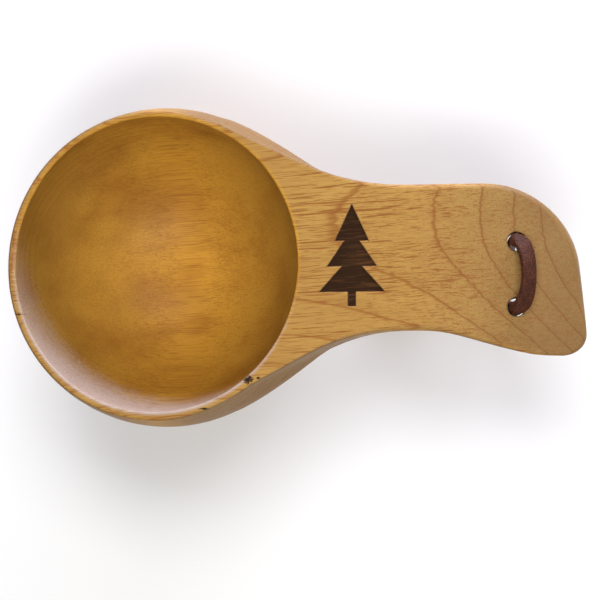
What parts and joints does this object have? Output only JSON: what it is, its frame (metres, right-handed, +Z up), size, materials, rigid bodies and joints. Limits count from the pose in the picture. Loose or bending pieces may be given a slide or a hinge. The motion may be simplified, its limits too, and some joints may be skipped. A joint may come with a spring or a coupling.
{
  "type": "wooden drinking cup",
  "caption": "Carved wooden kuksa cup: a round bowl with a flat foot and a broad drooping handle, with a leather thong through holes in its end.",
  "frame": {"origin": "centre of the flat foot under the bowl", "axes": "+Z up along the bowl's axis, +X from the bowl along the handle, +Y across the handle"},
  "size_m": [0.1775, 0.098, 0.0567],
  "materials": {
    "wood": "satin",
    "leather": "satin"
  },
  "bodies": {
    "cup": {"cup_body": "wood"},
    "thong": {"thong_bight": "leather", "thong_run_upper": "leather", "thong_run_lower": "leather", "thong_knot": "leather", "thong_end_upper": "leather", "thong_end_lower": "leather"}
  },
  "joints": [
    {"name": "thong_slide", "type": "slide", "parent": "cup", "child": "thong", "axis": [0.1796, 0, 0.9837], "range_m": [0, 0.02]}
  ]
}
